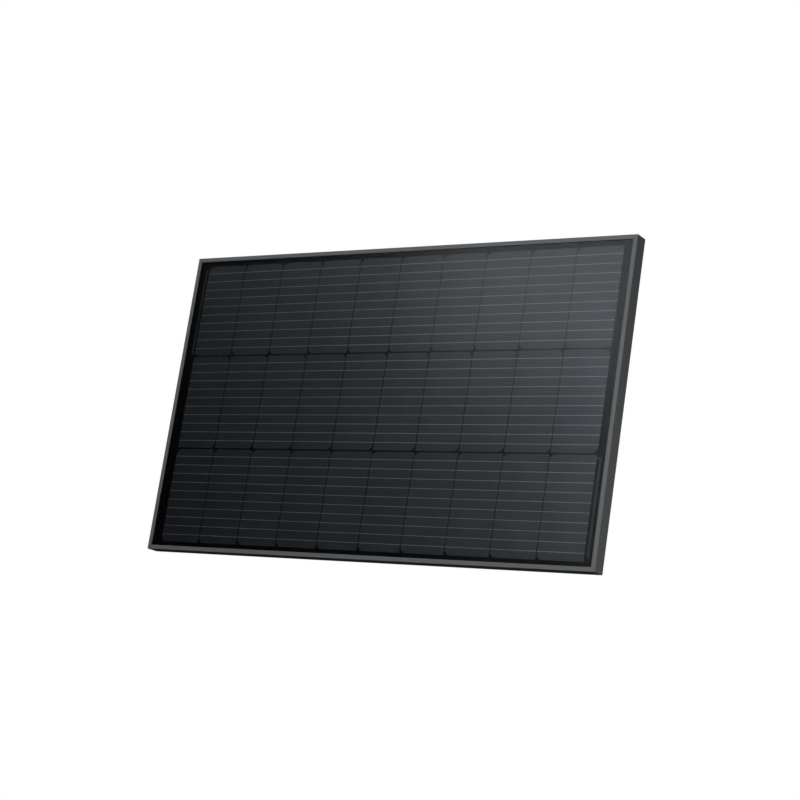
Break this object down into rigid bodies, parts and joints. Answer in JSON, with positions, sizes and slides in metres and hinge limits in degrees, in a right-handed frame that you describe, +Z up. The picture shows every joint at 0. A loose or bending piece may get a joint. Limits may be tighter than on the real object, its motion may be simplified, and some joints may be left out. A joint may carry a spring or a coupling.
{
  "type": "solar panel",
  "caption": "Rigid framed solar panel with half-cut black cells behind glass, a black aluminium frame and a rear junction box with a hinged lid.",
  "frame": {"origin": "middle of the plane of the rear flanges, where the panel meets its rack", "axes": "+X along the long side, +Z up along the short side, +Y out of the rear; the glass faces -Y"},
  "size_m": [0.976, 0.028, 0.586],
  "materials": {
    "anodised_black": "black anodised aluminium, fine satin",
    "bare_aluminium": "extruded, unpainted",
    "black_rubber": "matt",
    "tempered_glass": "low-iron solar glass, anti-reflection, smooth",
    "clear_encapsulant": "clear cured film",
    "silicon_cell": "black anti-reflection coated silicon with fine silver lines",
    "coated_ribbon": "black coated flat copper",
    "black_encapsulant": "black film",
    "white_backsheet": "white polyester film, slightly embossed",
    "label_film": "silver-grey film, blank",
    "grey_silicone": "cured bead",
    "black_moulding": "fine moulded texture",
    "steel": "turned",
    "plated_brass": "plated",
    "diode_body": "epoxy"
  },
  "bodies": {
    "panel": {"frame_rail_bottom": "anodised_black", "frame_rail_left": "anodised_black", "frame_rail_right": "anodised_black", "frame_rail_top": "anodised_black", "corner_key_bottom_left": "bare_aluminium", "corner_key_bottom_right": "bare_aluminium", "corner_key_top_left": "bare_aluminium", "corner_key_top_right": "bare_aluminium", "edge_seal": "black_rubber", "junction_box_gasket": "black_rubber", "gland_seal_left": "black_rubber", "gland_seal_right": "black_rubber", "front_glass": "tempered_glass", "front_encapsulant": "clear_encapsulant", "cell_row1_column01": "silicon_cell", "cell_row1_column02": "silicon_cell", "cell_row1_column03": "silicon_cell", "cell_row1_column04": "silicon_cell", "cell_row1_column05": "silicon_cell", "cell_row1_column06": "silicon_cell", "cell_row1_column07": "silicon_cell", "cell_row1_column08": "silicon_cell", "cell_row1_column09": "silicon_cell", "cell_row1_column10": "silicon_cell", "cell_row2_column01": "silicon_cell", "cell_row2_column02": "silicon_cell", "cell_row2_column03": "silicon_cell", "cell_row2_column04": "silicon_cell", "cell_row2_column05": "silicon_cell", "cell_row2_column06": "silicon_cell", "cell_row2_column07": "silicon_cell", "cell_row2_column08": "silicon_cell", "cell_row2_column09": "silicon_cell", "cell_row2_column10": "silicon_cell", "cell_row3_column01": "silicon_cell", "cell_row3_column02": "silicon_cell", "cell_row3_column03": "silicon_cell", "cell_row3_column04": "silicon_cell", "cell_row3_column05": "silicon_cell", "cell_row3_column06": "silicon_cell", "cell_row3_column07": "silicon_cell", "cell_row3_column08": "silicon_cell", "cell_row3_column09": "silicon_cell", "cell_row3_column10": "silicon_cell", "string_link_left": "coated_ribbon", "string_link_right": "coated_ribbon", "output_ribbon_positive": "coated_ribbon", "output_ribbon_negative": "coated_ribbon", "rear_encapsulant": "black_encapsulant", "backsheet": "white_backsheet", "rating_label": "label_film", "junction_box_adhesive": "grey_silicone", "junction_box_base": "black_moulding", "gland_nut_left": "black_moulding", "gland_nut_right": "black_moulding", "lid_hinge_pin": "steel", "terminal_positive": "plated_brass", "terminal_negative": "plated_brass", "bypass_diode": "diode_body"},
    "junction_box_lid": {"junction_box_lid": "black_moulding"}
  },
  "joints": [
    {"name": "junction_box_lid_hinge", "type": "hinge", "parent": "panel", "child": "junction_box_lid", "pos_m": [-0.375, -0.0065, 0.0385], "axis": [1, 0, 0], "range_deg": [0, 110]}
  ]
}
